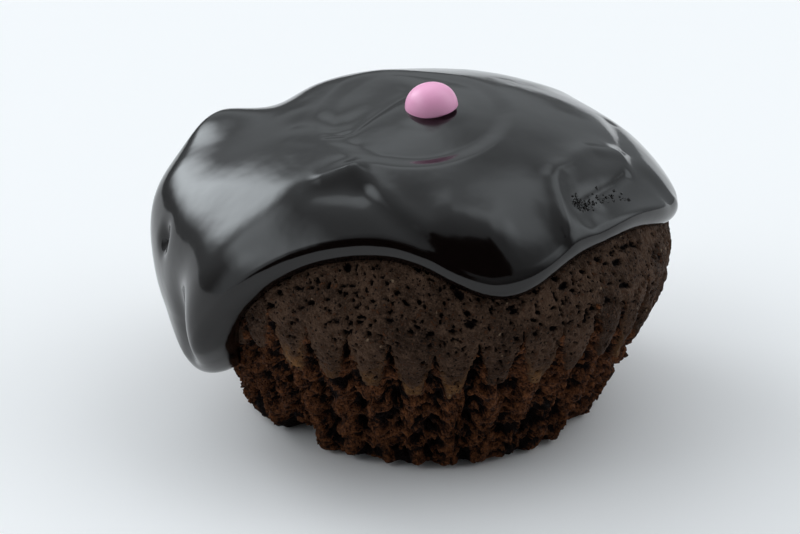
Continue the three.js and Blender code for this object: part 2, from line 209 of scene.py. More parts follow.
TORN_HIGHER = (-15, 28, 4.5)  # direction, width and size: the grooves are torn open further up here
EDGE_WAVES = ((0.9, 2.2, 1), (0.7, 0.8, 2))  # height, size and salt: the crust's edge is ragged
FLAP = (-63, 7, 18.6, 1.3, 0.55)  # direction, width, height, reach and size of the crust's lifted edge
LIP_HEIGHT = 0.5  # how far over its edge the crust curls out a little
LIP_REACH = 0.45
LIP_SIZE = 0.15
CRUST_DEPTH = 0.25  # how far the crust lies inside the smooth outline
CRUST_WAVES = ((0.2, 7), (0.17, 1.6))  # height and size of its long and short waves
CRUST_HOLE_GAIN = 1.5
CRUST_HOLE_DEPTH = 0.8
PINHOLES = (0.85, 0.02, 0.36, 51)  # spacing, smallest and largest radius, salt
PINHOLE_PATCHES = 5.0  # size of the patches that have none
CRACKS = (1.7, 0.05, 0.75, 61)  # the same for the cracks
CRACK_SQUASH = 1.6  # they are this much lower than wide
CRACK_HEIGHTS = (19, 26)  # they set in between these, towards the icing
RUBBED = [  # direction, share: ridges whose crust is worn thin and tan at its tip
    (-123, 1.0),
    (-113.5, 0.25),
    (-103.7, 0.45),
    (-94, 0.7),
    (-84.3, 0.75),
    (-65, 0.7),
    (-36, 0.6),
    (20, 0.8),
    (80, 0.6),
    (150, 0.8),
]
RUBBED_WIDTH = 3.5
TIP_HEIGHT = 1.0  # how far over its edge the crust is worn thinnest
TIP_REACH = 1.1
TIP_GAIN = 1.2  # gains over 1 widen what is all there, with a sharper rim
TORN_DEPTH = 0.1  # and the torn crumb's highest places
TORN_WARP = (0.5, 1.3)  # push and size: the crumb's pattern is pushed about
TORN_START = -0.1  # from this far below the crust's edge
TORN_FULL = 0.3
CLOD_SIZE = 1.8
CLOD_LEVEL = 0.4  # depth of the torn crumb halfway down its clods, and theirs either way
CLOD_DEPTH = 0.8
DEEPEST_CLOD = 2.0
PITS = ((2.1, 0.2, 1.3, 31), (1.1, 0.1, 0.6, 35))  # spacing, smallest and largest radius, salt
PIT_GAIN = 1.4
PITS_ON_RIDGES = 0.45  # share of their depth
PITS_IN_GROOVES = 0.7  # what the grooves add to it
PIT_DEPTH = 2.0
SHADE_BETWEEN_CLODS = 0.6  # painted shade: low places between the clods get this share of the pit shade
SHADE_IN_GROOVES = 0.5  # and so do the grooves, as painted shade
FIRM_BASE = 0.35  # share of the torn relief that is left at the base edge
FIRM_HEIGHT = 3.5
FOOT_CRUMBLING = (0.78, 2.3, 1.4)  # depth, size and reach: bits are missing at the foot
SHIFT_SIZE = 1.1
SHIFT_UP = 0.3  # the torn crumb is shifted about so that it overhangs in places
SHIFT_ASIDE = 0.35
BULGE = (-158, 24, 1, 6, 1.6)  # direction, width, height, reach, size
CHIPS = [  # direction, width, height, reach, depth
    (-133, 6, 0.5, 2.6, 2.2),
    (-6, 5, 14.5, 1.7, 1.8),
    (-8, 4, 5, 1.8, 1.2),
    (-38, 5, 1, 1.8, 1.3),
    (70, 5, 2, 2.5, 1.6),
    (152, 4, 12, 2, 1.4),
]
UNDERCUT = (-133, 7, 2.6)  # direction, width, lift
UNDERCUT_REACH = 6.0  # height up to which the lifted base edge squeezes the wall
UNDERCUT_FADING = 6.0  # it has faded out a sixth of the way in under the base
EDGE_ROUNDING = 0.7  # of the base edge
COVERED_DEPTH = 0.3  # under the icing the sponge lies this far inside its outline
ICING_EDGE = 33.2  # height of the icing's lower edge between its lobes
LOBES = [  # direction, width, drop, power, swell
    (-158, 22, 16.4, 2.4, 3.8),
    (-156.5, 33.5, 8.4, 2, 0),
    (-73, 17.4, 4.8, 2, 0.4),
    (-43, 17.3, 1.5, 2, 0.3),
    (0, 25.8, 6.7, 2, 0),
    (58, 14, 8, 3, 1.4),
    (97, 12, 3.5, 2, 0.4),
    (134, 14, 7, 3, 1),
]
COVER_MARGIN = 0.06  # the fine rows start this many steps above the icing's edge
CAKE_COLUMNS = PLEATS * 20
COVERED_ROWS = 6
TOP_ROW = 0.05  # step of the first row, as a share of the way to the icing's edge
OPEN_ROWS = 120
UNDER_ROWS = 6
FOOT_STEP = 1.97  # below this step nothing is shifted up and no crumb hangs
LENGTH_SAMPLES = 4000
MM = 0.001
CRUST_COLOURS = ("#503C2F", "#23170F")  # pale and dark
CRUST_MOTTLING = (1.15, 1.65)  # values of the added patterns that have these colours
LOW_CRUST_COLOUR = "#28170B"
BROWNER_SHARE = 0.65
BROWNER_HEIGHTS = (14 * MM, 23 * MM)  # the crust is browner low down
TORN_COLOURS = ("#180803", "#6B4126")  # dark and tan
TORN_MOTTLING = (0.68, 1.08)
TORN_RIM = (1.1, 1.8)  # values between which crust turns to torn crumb
PIT_SHADE_RIM = (0.7, 1.0)  # and between which that turns to painted pit shade
TIP_COLOUR = "#74512F"
TIP_GRAINS = (0.3, 0.6)  # the tips are tan where the coarse pattern is over these values
SPECK_COLOUR = "#85705C"
SPECK_RIM = (0.05, 0.1, 0.6, 0.0)  # nearest, furthest, and the colour's share at either
# Painted shade: near-black colour laid into the pits, pinholes and cracks, between the torn crumb's clods
# and in its grooves.
PIT_SHADE_COLOUR = "#0A0201"
# Painted shade in the pinholes: nearest, furthest, and its share at either.
PINHOLE_SHADE_RIM = (0.12, 0.28, 0.9, 0.0)
PINHOLE_SLOPE = (0.08, 0.26)
PATCH_SIZE = 5 * MM
COARSE_SIZE = 0.8 * MM
FINE_SIZE = 0.3 * MM
PUSH_SIZE = 0.5 * MM  # size and reach of the push that makes pinholes and specks uneven
PINHOLE_SPACING = 0.62 * MM
SPECK_SPACING = 2.4 * MM
BUMP_HEIGHT = 0.38 * MM
SPONGE_ROUGHNESS = 0.75
SPONGE_SPECULAR = 0.1


def hump(distance, width, power=2):
    """A smooth hump of height 1 in the middle, exp(-|distance / width| ** power)."""
    return np.exp(-np.abs(distance / width) ** power)


def turn(start, end):
    """Smallest turn between two directions."""
    return (end - start + 180) % 360 - 180


def smooth_share(value, low, high):
    """0 below low, 1 above high, and 3t^2 - 2t^3 of the share between."""
    share = np.clip((value - low) / (high - low), 0, 1)
    return share * share * (3 - 2 * share)


def wall_radius(height):
    """Radius over the pleats' ridges: it grows by the slope, and the slope fades out evenly from the
    rounding's start to the widest line."""
    turning = np.maximum(height - ROUNDING_START, 0)
    return BASE_RADIUS + WALL_SLOPE * (height - turning ** 2 / (2 * (WIDEST_HEIGHT - ROUNDING_START)))


def outline(step):
    """Radius and height of the cake's outline: a quarter ellipse from the top (0) to the widest line
    (1), then the wall down to the base (2)."""
    angle = np.minimum(step, 1) * math.pi / 2
    height = np.where(step < 1, WIDEST_HEIGHT + DOME_HEIGHT * np.cos(angle), WIDEST_HEIGHT * (2 - step))
    on_wall = wall_radius(np.minimum(height, WIDEST_HEIGHT))
    return np.where(step < 1, WIDEST_RADIUS * np.sin(angle), on_wall), height


def outline_normal(step):
    """Radial and upright parts of the unit vector square to the outline, pointing outwards."""
    small = 1e-4
    before = outline(np.maximum(step - small, 0))
    after = outline(np.minimum(step + small, 2))
    along_radius, along_height = after[0] - before[0], after[1] - before[1]
    length = np.hypot(along_radius, along_height)
    return -along_height / length, along_radius / length


sampled_steps = np.linspace(0, 2, LENGTH_SAMPLES + 1)
sampled_radii, sampled_heights = outline(sampled_steps)
sampled_pieces = np.hypot(np.diff(sampled_radii), np.diff(sampled_heights))
sampled_lengths = np.concatenate([[0], np.cumsum(sampled_pieces)])


def length_at(step):
    """Length of the outline from the top to a step."""
    return np.interp(step, sampled_steps, sampled_lengths)


def step_at(length):
    """Step of the outline at a length from the top."""
    return np.interp(length, sampled_lengths, sampled_steps)


def icing_edge(direction):
    """Height of the icing's lower edge: level, less one hump for each lobe."""
    edge = np.full(np.shape(direction), ICING_EDGE)
    for at, width, drop, power, _ in LOBES:
        edge = edge - drop * hump(turn(at, direction), width, power)
    return edge


def edge_step(direction):
    """Step of the outline at the icing's lower edge."""
    height = icing_edge(direction)
    on_dome = np.arccos(np.clip((height - WIDEST_HEIGHT) / DOME_HEIGHT, -1, 1)) / (math.pi / 2)
    return np.where(height < WIDEST_HEIGHT, 2 - height / WIDEST_HEIGHT, on_dome)


def bulge(direction, height):
    """How far the lower wall stands out beyond the round outline."""
    at, width, middle, reach, size = BULGE
    return size * hump(turn(at, direction), width) * hump(height - middle, reach)


def polar(direction, radius, height):
    """Points from directions, radii and heights."""
    angle = np.radians(direction)
    parts = np.broadcast_arrays(radius * np.cos(angle), radius * np.sin(angle), height)
    return np.stack(parts, axis=-1)


def cell_random(cells, salt):
    """A repeatable random number from 0 to 1 for each whole-number cell: its three numbers are
    multiplied by large odd numbers and mixed three times. Another salt gives other numbers."""
    x, y, z = (cells[..., k].astype(np.uint32) for k in range(3))
    mixed = x * np.uint32(73856093) ^ y * np.uint32(19349663) ^ z * np.uint32(83492791)
    mixed = (mixed ^ np.uint32(salt * 7919 + 1)) * np.uint32(2654435769)
    mixed = (mixed ^ (mixed >> np.uint32(15))) * np.uint32(2246822519)
    mixed = (mixed ^ (mixed >> np.uint32(13))) * np.uint32(3266489917)
    return ((mixed ^ (mixed >> np.uint32(16))) & np.uint32(0xFFFF)) / 65535


def soft_noise(points, size, salt):
    """Smooth noise from -1 to 1: random numbers on a cubic lattice of the given size, blended between
    the eight corners of each cell by smooth shares."""
    place = points / size
    cell = np.floor(place).astype(np.int64)
    share = place - cell
    share = share * share * (3 - 2 * share)
    total = np.zeros(points.shape[:-1])
    for corner in np.ndindex(2, 2, 2):
        weight = np.prod(np.where(corner, share, 1 - share), axis=-1)
        total += weight * cell_random(cell + corner, salt)
    return 2 * total - 1


def layered_noise(points, size, salt, layers=3, fading=0.5):
    """Soft noise in layers, each half the size of the one before and weaker by the fading."""
    return sum(soft_noise(points, size / 2 ** k, salt + k) * fading ** k for k in range(layers))


def pores(points, spacing, smallest, largest, salt):
    """Depth share of round pores: each cubic cell has one pore at a random place, and the share falls
    from 1 in its middle to 0 at its own random radius."""
    place = points / spacing
    cell = np.floor(place).astype(np.int64)
    deepest = np.zeros(points.shape[:-1])
    for offset in np.ndindex(3, 3, 3):
        near = cell + offset - 1
        centre = near + np.stack([cell_random(near, salt + k) for k in range(3)], axis=-1)
        radius = smallest + (largest - smallest) * cell_random(near, salt + 3)
        gap = np.linalg.norm((place - centre) * spacing, axis=-1) / radius
        deepest = np.maximum(deepest, 1 - gap ** 2)
    return deepest


def groove_share(direction):
    """0 on a pleat's ridge and 1 in the groove: (half of 1 minus the cosine) ** 1.3."""
    return (0.5 - 0.5 * np.cos(PLEATS * np.radians(direction - PLEAT_PHASE))) ** 1.3


def crust_edge(direction):
    """Height where the crust ends. It wanders by the mean of two sines and rises in each groove by an
    arch, 1 - |cos of half the pleat's turn| ** 0.9 with its foot cut off. Strips hang on the ridges."""
    angle = np.radians(direction)
    wander = (np.sin(5 * angle) + np.sin(13 * angle)) / 2
    at, width, drop = STRIPS
    strip = drop * hump(turn(at, direction), width) * (1 - groove_share(direction)) ** 3
    arch = 1 - np.abs(np.cos(PLEATS * (angle - math.radians(PLEAT_PHASE)) / 2)) ** 0.9
    arch = np.clip((arch - TONGUE_BLUNTNESS) / (1 - TONGUE_BLUNTNESS), 0, 1)
    at, width, size = TORN_HIGHER
    rise = CRUST_RISE + size * hump(turn(at, direction), width)
    return CRUST_EDGE + CRUST_EDGE_SPREAD * wander + rise * arch - strip


def crust_layer(height, place, warped):
    """Depth of the crust and its share of pits, which the material fills with painted shade: two waves,
    with pinholes in patches and flat cracks towards the icing, each the depth share of round pores."""
    (tall, size), (short_tall, short_size) = CRUST_WAVES
    waves = tall * soft_noise(place, size, 41)
    waves = waves + short_tall * layered_noise(warped, short_size, 42, layers=3, fading=0.9)
    in_patches = smooth_share(soft_noise(place, PINHOLE_PATCHES, 55), -0.9, -0.2)
    pinholes = pores(warped, *PINHOLES) * in_patches
    cracks = pores(warped * (1, 1, CRACK_SQUASH), *CRACKS) * smooth_share(height, *CRACK_HEIGHTS)
    pits = np.clip(CRUST_HOLE_GAIN * np.maximum(pinholes, cracks), 0, 1)
    return CRUST_DEPTH + waves + CRUST_HOLE_DEPTH * pits, pits


def torn_layer(height, warped, groove):
    """Depth of the torn crumb and its share of painted pit shade: clods of four layers of noise, and pores
    of two sizes that are deeper in the grooves. Near the firm base it is shallower. The painted shade
    also lies between the clods and in the grooves."""
    clods = layered_noise(warped, CLOD_SIZE, 11, layers=4, fading=0.8)
    large, small = (pores(warped, *kind) for kind in PITS)
    holes = np.clip(PIT_GAIN * np.maximum(large, small), 0, 1)
    pits = np.clip(holes * (PITS_ON_RIDGES + PITS_IN_GROOVES * groove), 0, 1)
    firm = FIRM_BASE + (1 - FIRM_BASE) * smooth_share(height, 0, FIRM_HEIGHT)
    clod_relief = np.clip(CLOD_LEVEL - CLOD_DEPTH * clods, 0, DEEPEST_CLOD)
    # Painted shade: low places between the clods and the grooves are darkened like pits.
    low = smooth_share(-clods, 0, 0.7)
    groove_shade = smooth_share(groove - 0.5 * clods, 0.45, 1.1)
    dark = np.clip(pits + SHADE_BETWEEN_CLODS * low + SHADE_IN_GROOVES * groove_shade, 0, 1)
    return TORN_DEPTH + firm * (clod_relief + PIT_DEPTH * pits), dark


def sponge_relief(direction, height, place):
    """How far the wall lies inside its smooth outline, with the shares of torn crumb, of painted pit
    shade and of thin crust at a tongue's tip. Grooves, the crust or the torn layer, the lifted flap and
    lip, the bites and the crumbled foot add up."""
    groove = groove_share(direction)
    fading = np.clip((PLEAT_TOP - height) / (PLEAT_TOP - PLEAT_FULL), 0, 1)
    fading = fading * (PLEAT_FOOT_SHARE + (1 - PLEAT_FOOT_SHARE) * smooth_share(height, 0, PLEAT_FOOT))
    push, push_size = TORN_WARP
    pushes = [soft_noise(place, push_size, 90 + k) for k in range(3)]
    warped = place + push * np.stack(pushes, axis=-1)
    ragged = sum(tall * soft_noise(place, size, salt) for tall, size, salt in EDGE_WAVES)
    below = crust_edge(direction) - height + ragged
    torn = smooth_share(below, TORN_START, TORN_FULL)
    at, width, middle, reach, size = FLAP
    flap = size * hump(turn(at, direction), width, 4) * hump(height - middle, reach) * (1 - torn)

    crust_relief, crust_pits = crust_layer(height, place, warped)
    crust_relief = crust_relief - LIP_SIZE * hump(below + LIP_HEIGHT, LIP_REACH)
    torn_relief, torn_pits = torn_layer(height, warped, groove)
    relief = PLEAT_DEPTH * fading * groove + torn * torn_relief + (1 - torn) * crust_relief - flap
    for at, width, middle, reach, depth in CHIPS:
        bite = hump(turn(at, direction), width, 4) * hump(height - middle, reach, 4)
        relief = relief + depth * bite
    depth, size, reach = FOOT_CRUMBLING
    relief = relief + depth * np.maximum(soft_noise(place, size, 71), 0) * hump(height, reach)

    pits = torn * torn_pits + (1 - torn) * crust_pits
    rubbed = sum(share * hump(turn(at, direction), RUBBED_WIDTH) for at, share in RUBBED)
    tip = rubbed * hump(below + TIP_HEIGHT, TIP_REACH) * (1 - groove) ** 0.5
    tip = np.clip(TIP_GAIN * tip, 0, 1)
    return np.maximum(relief, 0), torn, pits, tip * (1 - torn)


def sponge_points(direction, step):
    """Points of the sponge's skin, and its shares of torn crumb, painted pit shade and tip. From 0 to 2
    the step runs down the outline, less the relief; from 2 to 3 it runs in under the base to its middle."""
    on_side = np.minimum(step, 2)
    radius, height = outline(on_side)
    out, up = outline_normal(on_side)
    at, width, lift = UNDERCUT
    lifted = lift * hump(turn(at, direction), width, 4)
    height = height + lifted * np.clip(1 - height / UNDERCUT_REACH, 0, 1)
    radius = np.where(on_side > 1, wall_radius(np.minimum(height, WIDEST_HEIGHT)), radius)
    rounding = EDGE_ROUNDING * np.clip(1 - (height - lifted) / EDGE_ROUNDING, 0, 1) ** 2
    place = polar(direction, radius, height)
    relief, torn, pits, tip = sponge_relief(direction, height, place)
    open_share = smooth_share(step - edge_step(direction), -COVER_MARGIN, -0.5 * COVER_MARGIN)
    push = COVERED_DEPTH + (relief - COVERED_DEPTH) * open_share + rounding
    radius = radius + bulge(direction, height) - out * push
    lifting = torn * SHIFT_UP * soft_noise(place, SHIFT_SIZE, 81) * (on_side < FOOT_STEP)
    height = height - up * push + lifting
    sideways = torn * SHIFT_ASIDE * soft_noise(place, SHIFT_SIZE, 82)
    turned = direction + np.degrees(sideways / np.maximum(radius, 5))
    inward = np.clip(step - 2, 0, 1)
    radius = radius * (1 - inward)
    base_height = lifted * np.clip(1 - inward * UNDERCUT_FADING, 0, 1)
    height = np.where(inward > 0, base_height, np.maximum(height, 0))
    return polar(turned, radius, height), torn, pits, tip


def ring_mesh(name, rings):
    """Mesh of a closed skin. Rings are rows of points from the top down, each counterclockwise seen
    from above; quads join neighbouring rows, and fans close the first and last row at their middles."""
    rows, columns = rings.shape[:2]
    index = np.arange(rows * columns).reshape(rows, columns)
    after = np.roll(index, -1, axis=1)
    quads = np.stack([index[:-1], index[1:], after[1:], after[:-1]], axis=-1).reshape(-1, 4)
    top, bottom = rows * columns, rows * columns + 1
    top_fan = np.stack([np.full(columns, top), index[0], after[0]], axis=-1)
    bottom_fan = np.stack([np.full(columns, bottom), after[-1], index[-1]], axis=-1)
    middles = np.stack([rings[0].mean(axis=0), rings[-1].mean(axis=0)])
    mesh = bpy.data.meshes.new(name)
    points = np.concatenate([rings.reshape(-1, 3), middles]) * MM
    faces = quads.tolist() + top_fan.tolist() + bottom_fan.tolist()
    mesh.from_pydata(points, [], faces)
    mesh.polygons.foreach_set("use_smooth", np.ones(len(faces), dtype=bool))
    mesh.update()
    return mesh


def keep_shares(mesh, **shares):
    """Stores one number for each of the mesh's points under each name, for the material to read."""
    for name, values in shares.items():
        ends = np.stack([values[0].mean(), values[-1].mean()])
        attribute = mesh.attributes.new(name, "FLOAT", "POINT")
        attribute.data.foreach_set("value", np.concatenate([values.ravel(), ends]))


def add_piece(name, mesh, material, node):
    """Puts a finished mesh into the scene with its material, riding on the part's one body. If a CAD node
    is given, the piece stands for it and that node is hidden."""
    mesh.materials.append(material)
    piece = bpy.data.objects.new(name, mesh)
    bpy.context.collection.objects.link(piece)
    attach(piece, "root")
    if node:
        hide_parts(node)


cake_directions = -180 + 360 * np.arange(CAKE_COLUMNS) / CAKE_COLUMNS
open_from = edge_step(cake_directions) - COVER_MARGIN
covered = np.linspace(TOP_ROW, 1, COVERED_ROWS, endpoint=False)[:, None] * open_from
open_shares = np.linspace(0, 1, OPEN_ROWS, endpoint=False)[:, None]
open_side = step_at(length_at(open_from) + open_shares * (length_at(2) - length_at(open_from)))
under_steps = 2 + np.linspace(0, 1, UNDER_ROWS, endpoint=False)[:, None] ** 2
underside = np.broadcast_to(under_steps, (UNDER_ROWS, CAKE_COLUMNS))
sponge_steps = np.concatenate([covered, open_side, underside])
sponge_rings, torn_share, pit_share, tip_share = sponge_points(cake_directions[None, :], sponge_steps)
sponge_mesh = ring_mesh("sponge", sponge_rings)
keep_shares(sponge_mesh, torn=torn_share, pit=pit_share, tip=tip_share)

# Chocolate sponge: dull and porous. The crust is a smooth grey brown with pinholes and a few pale
# specks, and the torn crumb redder, with tan grains. Painted shade makes its pits almost black.
chocolate_sponge, tree = new_material("chocolate_sponge")
place = add_node(tree, "TexCoord").outputs["Object"]
torn_value = add_node(tree, "Attribute", attribute_name="torn").outputs["Fac"]
pit_value = add_node(tree, "Attribute", attribute_name="pit").outputs["Fac"]
tip_value = add_node(tree, "Attribute", attribute_name="tip").outputs["Fac"]
patches = add_node(tree, "TexNoise", {"Vector": place, "Scale": 1 / PATCH_SIZE, "Detail": 5.0})
coarse_look = {"Vector": place, "Scale": 1 / COARSE_SIZE, "Detail": 3.0, "Roughness": 0.65}
coarse = add_node(tree, "TexNoise", coarse_look)
fine = add_node(tree, "TexNoise", {"Vector": place, "Scale": 1 / FINE_SIZE})
pushing = add_node(tree, "TexNoise", {"Vector": place, "Scale": 1 / PUSH_SIZE}).outputs["Color"]
uneven = add_node(tree, "VectorMath", (pushing, (PUSH_SIZE,) * 3, place), operation="MULTIPLY_ADD")
from_pinhole = add_node(tree, "TexVoronoi", {"Vector": uneven, "Scale": 1 / PINHOLE_SPACING})
from_speck = add_node(tree, "TexVoronoi", {"Vector": uneven, "Scale": 1 / SPECK_SPACING})

# The crust is mottled, browner low down and tan where it is worn, with specks and painted shade in the
# pinholes over that.
pale, dark = (linear(colour) for colour in CRUST_COLOURS)
mottled = add_node(tree, "Math", (patches, coarse), operation="ADD")
mottled = add_node(tree, "Math", (fine, 0.8, mottled), operation="MULTIPLY_ADD")
mottling = add_node(tree, "MapRange", (mottled, *CRUST_MOTTLING))
crust = add_node(tree, "Mix", {0: mottling, 6: pale, 7: dark}, data_type="RGBA").outputs[2]
above_table = add_node(tree, "SeparateXYZ", [place]).outputs["Z"]
low_down = add_node(tree, "MapRange", (above_table, *BROWNER_HEIGHTS, BROWNER_SHARE, 0.0))
tip_grains = add_node(tree, "MapRange", (coarse, *TIP_GRAINS))
worn = add_node(tree, "Math", (tip_value, tip_grains), operation="MULTIPLY")
specks = add_node(tree, "MapRange", (from_speck, *SPECK_RIM))
# Painted shade: the pinholes are darkened towards near black.
pinholes = add_node(tree, "MapRange", (from_pinhole, *PINHOLE_SHADE_RIM))
shares = (low_down, worn, specks, pinholes)
colours = (LOW_CRUST_COLOUR, TIP_COLOUR, SPECK_COLOUR, PIT_SHADE_COLOUR)
for share, colour in zip(shares, colours):
    crust = add_node(tree, "Mix", {0: share, 6: crust, 7: linear(colour)}, data_type="RGBA").outputs[2]

# The torn crumb and the painted shade of its pits have edges that the fine patterns make ragged.
dark, tan = (linear(colour) for colour in TORN_COLOURS)
crumbly = add_node(tree, "Math", (fine, 0.7, coarse), operation="MULTIPLY_ADD")
mottling = add_node(tree, "MapRange", (crumbly, *TORN_MOTTLING))
torn_crumb = add_node(tree, "Mix", {0: mottling, 6: dark, 7: tan}, data_type="RGBA").outputs[2]
ragged_torn = add_node(tree, "Math", (crumbly, 1.2, torn_value), operation="MULTIPLY_ADD")
torn_here = add_node(tree, "MapRange", (ragged_torn, *TORN_RIM))
coloured = add_node(tree, "Mix", {0: torn_here, 6: crust, 7: torn_crumb}, data_type="RGBA").outputs[2]
# Painted shade: the pit shade share turns the colour almost black.
ragged_pit = add_node(tree, "Math", (fine, 0.9, pit_value), operation="MULTIPLY_ADD")
pit_here = add_node(tree, "MapRange", (ragged_pit, *PIT_SHADE_RIM))
painted_pit_shade = linear(PIT_SHADE_COLOUR)
coloured = add_node(tree, "Mix", {0: pit_here, 6: coloured, 7: painted_pit_shade}, data_type="RGBA").outputs[2]
pinhole_slope = add_node(tree, "MapRange", (from_pinhole, *PINHOLE_SLOPE))
unevenness = add_node(tree, "Math", (crumbly, 0.9, pinhole_slope), operation="MULTIPLY_ADD")
relief_bump = add_node(tree, "Bump", {"Height": unevenness, "Distance": BUMP_HEIGHT, "Strength": 1.0})
shader = add_node(tree, "BsdfPrincipled", {
    "Base Color": coloured,
    "Roughness": SPONGE_ROUGHNESS,
    "Specular IOR Level": SPONGE_SPECULAR,
    "Normal": relief_bump,
})
add_node(tree, "OutputMaterial", [shader])
add_piece("sponge", sponge_mesh, chocolate_sponge, "cake")

# Icing: dark chocolate, poured on warm in one coat, thicker where it ran down in lobes, with the
# folds, dish and dents that the pour left as it set.
COAT = 2.3
LIP_TUCK = -0.25  # the lip's end, inside the smooth outline so that it meets the sponge
SWELL_SHARE = 0.55  # a lobe swells this far from the edge, as a share of its drop and a length more
SWELL_REACH = 4.0
SWELLS = [  # direction, width, power, height, reach, size
    (165, 11.5, 2, 33.1, 3.2, 3.5),
    (175, 30, 2, 28.7, 5.3, 2),
    (150.5, 28.6, 2, 34.9, 4.9, -1.55),
    (-153, 5, 2, 18, 5, -1.5),
    (-144, 5, 2, 19, 5.5, 0.7),
    (-164.2, 1.9, 2, 25.4, 1.3, -1.1),
]
SWELLS_START = 0.1  # steps between which the swellings set in
SWELLS_FULL = 0.6
FOLDS = [  # width, power, size, line seen from above
    (3.2, 3, 0.45, [(22.6, -7.2), (18.6, -12), (16, -16.5), (15.8, -20.5)]),
    (1.1, 2, 0.3, [(23.6, -5.9), (21.8, -7.3), (19.6, -8.5), (18.4, -10.3), (16.9, -13.1), (15.2, -14.8),
                   (14.7, -16.7), (14.9, -18.8), (15.5, -21.2), (16.3, -23.5), (17.8, -24), (19.2, -23.4),
                   (20.5, -22), (22.3, -19.6), (25.6, -15), (28.9, -10.1), (30.7, -6.9), (31.7, -4.2)]),
    (2.6, 3, -0.5, [(28.6, -6.5), (25.2, -11.6), (22, -16), (19.8, -18.8)]),
    (0.6, 2, -0.3, [(24.8, -8.7), (22.9, -12.4), (19.4, -17.1), (17.4, -19.4)]),
    (1, 2, -0.2, [(19.8, -17.6), (18.6, -20.2)]),
    (1.5, 2, 0.4, [(-12.9, -17.6), (-11.1, -17.1), (-9.6, -16.9)]),
    (1.3, 2, 0.3, [(-9.4, -16.6), (-6.8, -20.2), (-4, -23.4), (-0.7, -26)]),
    (1.7, 2, -0.35, [(-13.4, -19.2), (-10.8, -20), (-8.2, -20.6)]),
    (1.5, 2, -0.25, [(-8.2, -20.6), (-5.2, -23.9), (-1.5, -27)]),
    (3, 2, 0.75, [(2.4, -24.8), (6.6, -25.4)]),
    (2.4, 2, -0.6, [(1.6, -30.2), (6.4, -30.6)]),
    (0.7, 2, 0.12, [(7.2, -30.6), (10.5, -30.9)]),
    (0.6, 2, 0.08, [(1, -29.4), (-1.5, -28.8)]),
    (0.6, 2, -0.1, [(6.5, -31.8), (8.6, -32.4)]),
    (2.2, 2, -0.35, [(-16.6, -2.8), (-12.9, -5.2), (-10.2, -5.2), (-6.9, -2.1), (-3.6, 2.5)]),
    (0.7, 2, -0.16, [(-13.3, -8.7), (-10.1, -7.9), (-7.8, -4.7), (-4.9, -0.8), (-3, 1.6)]),
    (0.8, 2, -0.06, [(-17.8, -7.6), (-14.6, -9.9), (-9.5, -11)]),
    (0.8, 2, -0.06, [(-13.6, -11.2), (-10.3, -13.6), (-6, -14.7)]),
    (0.8, 2, -0.05, [(-11.2, -14.7), (-7.6, -15.4)]),
    (1.2, 2, -0.3, [(24.1, 6.6), (24.7, 1.4), (25, -2.7)]),
    (5, 2, 0.9, [(-15, 10), (-7, 9)]),
    (4.6, 6, 0.2, [(0, -3.4), (0.2, -3.4)]),
]
DISH = (-2, -3, 15, 3.4, -0.6)  # x, y, radius, width of its slope, size
DISH_NARROWING = 1.15  # it is this much narrower across
DISH_TILT = 0.5  # share by which it is deeper in front and shallower behind
WAVES = ((0.16, 9), (0.04, 3.5))  # height and size of the gentle waves that it set with
WAVE_SALT = 5
ICING_COLUMNS = 480
ICING_ROWS = 180
ICING_TOP_ROW = 0.004  # the first row, as a share of the way to the edge
ROW_CROWDING = 1.35  # above 1 the rows crowd towards the edge
LINING_ROWS = 12
LINING_GAP = 0.1  # between the sponge's smooth outline and the icing's inner face
EDGE_SAMPLES = 3600
ICING_COLOUR = "#0B0605"
ICING_ROUGHNESS = 0.12
ICING_IOR = 1.44
RIPPLE_SIZE = 5 * MM
RIPPLE_HEIGHT = 0.15 * MM
RIPPLE_STRENGTH = 0.5


def over_cake(direction, step, distance):
    """Points at a distance out from the cake's smooth outline."""
    radius, height = outline(step)
    out, up = outline_normal(step)
    radius = radius + out * distance
    height = height + up * distance
    return polar(direction, radius + bulge(direction, height), height)


def distance_to_line(x, y, line):
    """Distance, seen from above, to the nearest of a line's straight pieces."""
    nearest = np.full(np.shape(x), np.inf)
    for (x0, y0), (x1, y1) in zip(line, line[1:]):
        along_x, along_y = x1 - x0, y1 - y0
        share = ((x - x0) * along_x + (y - y0) * along_y) / (along_x ** 2 + along_y ** 2)
        share = np.clip(share, 0, 1)
        nearest = np.minimum(nearest, np.hypot(x - x0 - share * along_x, y - y0 - share * along_y))
    return nearest


def coat_thickness(direction, step):
    """Thickness of the icing before its edge is rounded: the coat, plus the swellings, the folds, the
    dish and the waves, each a hump."""
    radius, height = outline(step)
    angle = np.radians(direction)
    x, y = radius * np.cos(angle), radius * np.sin(angle)
    thickness = np.full(np.shape(x), COAT)
    fading = smooth_share(step, SWELLS_START, SWELLS_FULL)
    for at, width, power, middle, reach, size in SWELLS:
        across = hump(turn(at, direction), width, power)
        thickness = thickness + size * across * hump(height - middle, reach) * fading
    for width, power, size, line in FOLDS:
        thickness = thickness + size * hump(distance_to_line(x, y, line), width, power) * (step <= 1)
    for tall, size in WAVES:
        thickness = thickness + tall * soft_noise(polar(direction, radius, height), size, WAVE_SALT)
    dish_x, dish_y, dish_radius, slope, size = DISH
    rim = np.hypot((x - dish_x) * DISH_NARROWING, y - dish_y)
    depth = size * (1 - DISH_TILT * (y - dish_y) / dish_radius)
    return thickness + depth * (1 - smooth_share(rim, dish_radius - slope, dish_radius))


